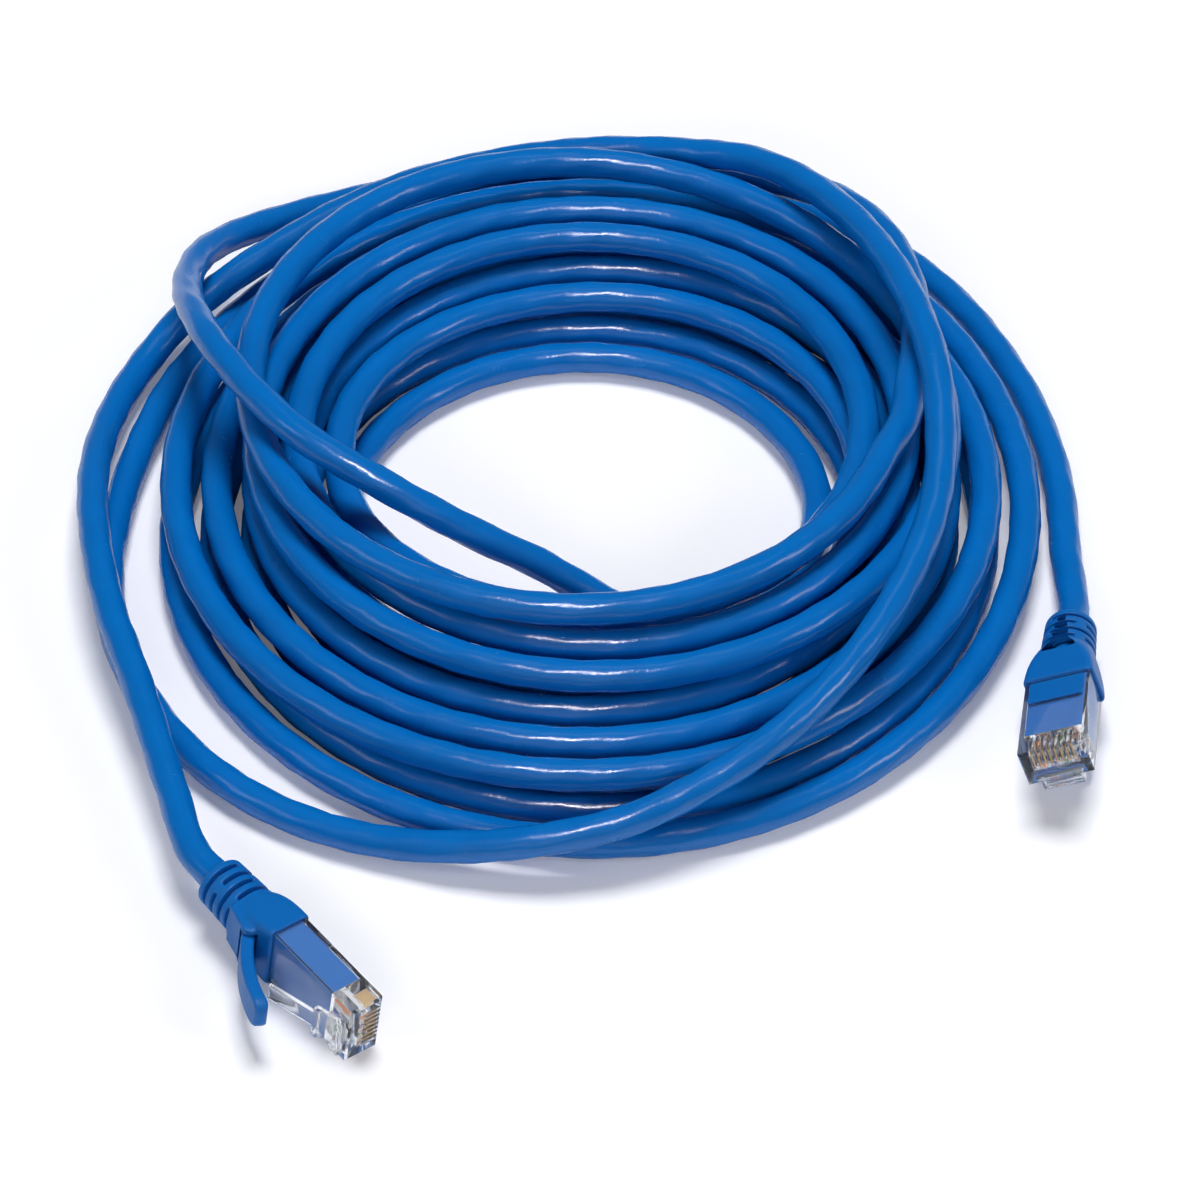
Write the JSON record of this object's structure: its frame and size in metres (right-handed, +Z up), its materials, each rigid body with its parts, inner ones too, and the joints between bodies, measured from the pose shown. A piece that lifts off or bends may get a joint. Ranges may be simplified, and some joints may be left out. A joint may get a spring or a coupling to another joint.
{
  "type": "ethernet patch cable",
  "caption": "Coiled round patch cable with a clear modular plug, ribbed boot and hinged latch guard at each end.",
  "frame": {"origin": "middle of the footprint, on the table", "axes": "+Z up off the table, -Y towards the end where both plugs lie, +X to the right seen from there"},
  "size_m": [0.1811, 0.2214, 0.0332],
  "materials": {
    "cord_jacket": "smooth semi-gloss blue PVC jacket",
    "boot_rubber": "moulded satin blue, soft",
    "clear_plastic": "clear polycarbonate",
    "milky_plastic": "milky clear moulding",
    "gold_contact": "gold-plated blade",
    "copper": "bare copper",
    "separator_white": "natural polyethylene",
    "wire_orange": "wire insulation, orange and white-orange",
    "wire_green": "wire insulation, green and white-green",
    "wire_blue": "wire insulation, blue and white-blue",
    "wire_brown": "wire insulation, brown and white-brown"
  },
  "bodies": {
    "cable": {"coil": "cord_jacket", "lead_a": "cord_jacket", "lead_b": "cord_jacket", "plug_a_housing": "clear_plastic", "plug_a_contacts": "gold_contact", "plug_a_load_bar": "milky_plastic", "plug_a_cable_clamp": "clear_plastic", "plug_a_jacket_end": "cord_jacket", "plug_a_boot": "boot_rubber", "plug_a_copper_cores": "copper", "plug_a_separator": "separator_white", "plug_a_pair_orange": "wire_orange", "plug_a_pair_green": "wire_green", "plug_a_pair_blue": "wire_blue", "plug_a_pair_brown": "wire_brown", "plug_b_housing": "clear_plastic", "plug_b_contacts": "gold_contact", "plug_b_load_bar": "milky_plastic", "plug_b_cable_clamp": "clear_plastic", "plug_b_jacket_end": "cord_jacket", "plug_b_boot": "boot_rubber", "plug_b_copper_cores": "copper", "plug_b_separator": "separator_white", "plug_b_pair_orange": "wire_orange", "plug_b_pair_green": "wire_green", "plug_b_pair_blue": "wire_blue", "plug_b_pair_brown": "wire_brown"},
    "latch_a": {"plug_a_latch": "clear_plastic"},
    "guard_a": {"plug_a_latch_guard": "boot_rubber"},
    "latch_b": {"plug_b_latch": "clear_plastic"},
    "guard_b": {"plug_b_latch_guard": "boot_rubber"}
  },
  "joints": [
    {"name": "plug_a_guard_flex", "type": "hinge", "parent": "cable", "child": "guard_a", "pos_m": [-0.05477, -0.0909, 0.00793], "axis": [0.133, 0.0572, 0.9895], "range_deg": [0, 18], "stiffness_Nm_per_rad": 0.01},
    {"name": "plug_a_latch_flex", "type": "hinge", "parent": "cable", "child": "latch_a", "pos_m": [-0.03943, -0.10868, 0.00689], "axis": [-0.133, -0.0572, -0.9895], "range_deg": [0, 13.55], "stiffness_Nm_per_rad": 0.004},
    {"name": "plug_b_guard_flex", "type": "hinge", "parent": "cable", "child": "guard_b", "pos_m": [0.08565, -0.03221, 0.0038], "axis": [-0.9214, 0.0623, -0.3836], "range_deg": [-15, 3], "stiffness_Nm_per_rad": 0.01, "springref_deg": -15},
    {"name": "plug_b_latch_flex", "type": "hinge", "parent": "cable", "child": "latch_b", "pos_m": [0.082, -0.05487, 0.00887], "axis": [0.9214, -0.0623, 0.3836], "range_deg": [-11.3, 2.3], "stiffness_Nm_per_rad": 0.004, "springref_deg": -11.25}
  ],
  "couplings": [
    {"joint": "plug_a_latch_flex", "follows": "plug_a_guard_flex", "ratio": 0.75},
    {"joint": "plug_b_latch_flex", "follows": "plug_b_guard_flex", "ratio": 0.75}
  ]
}
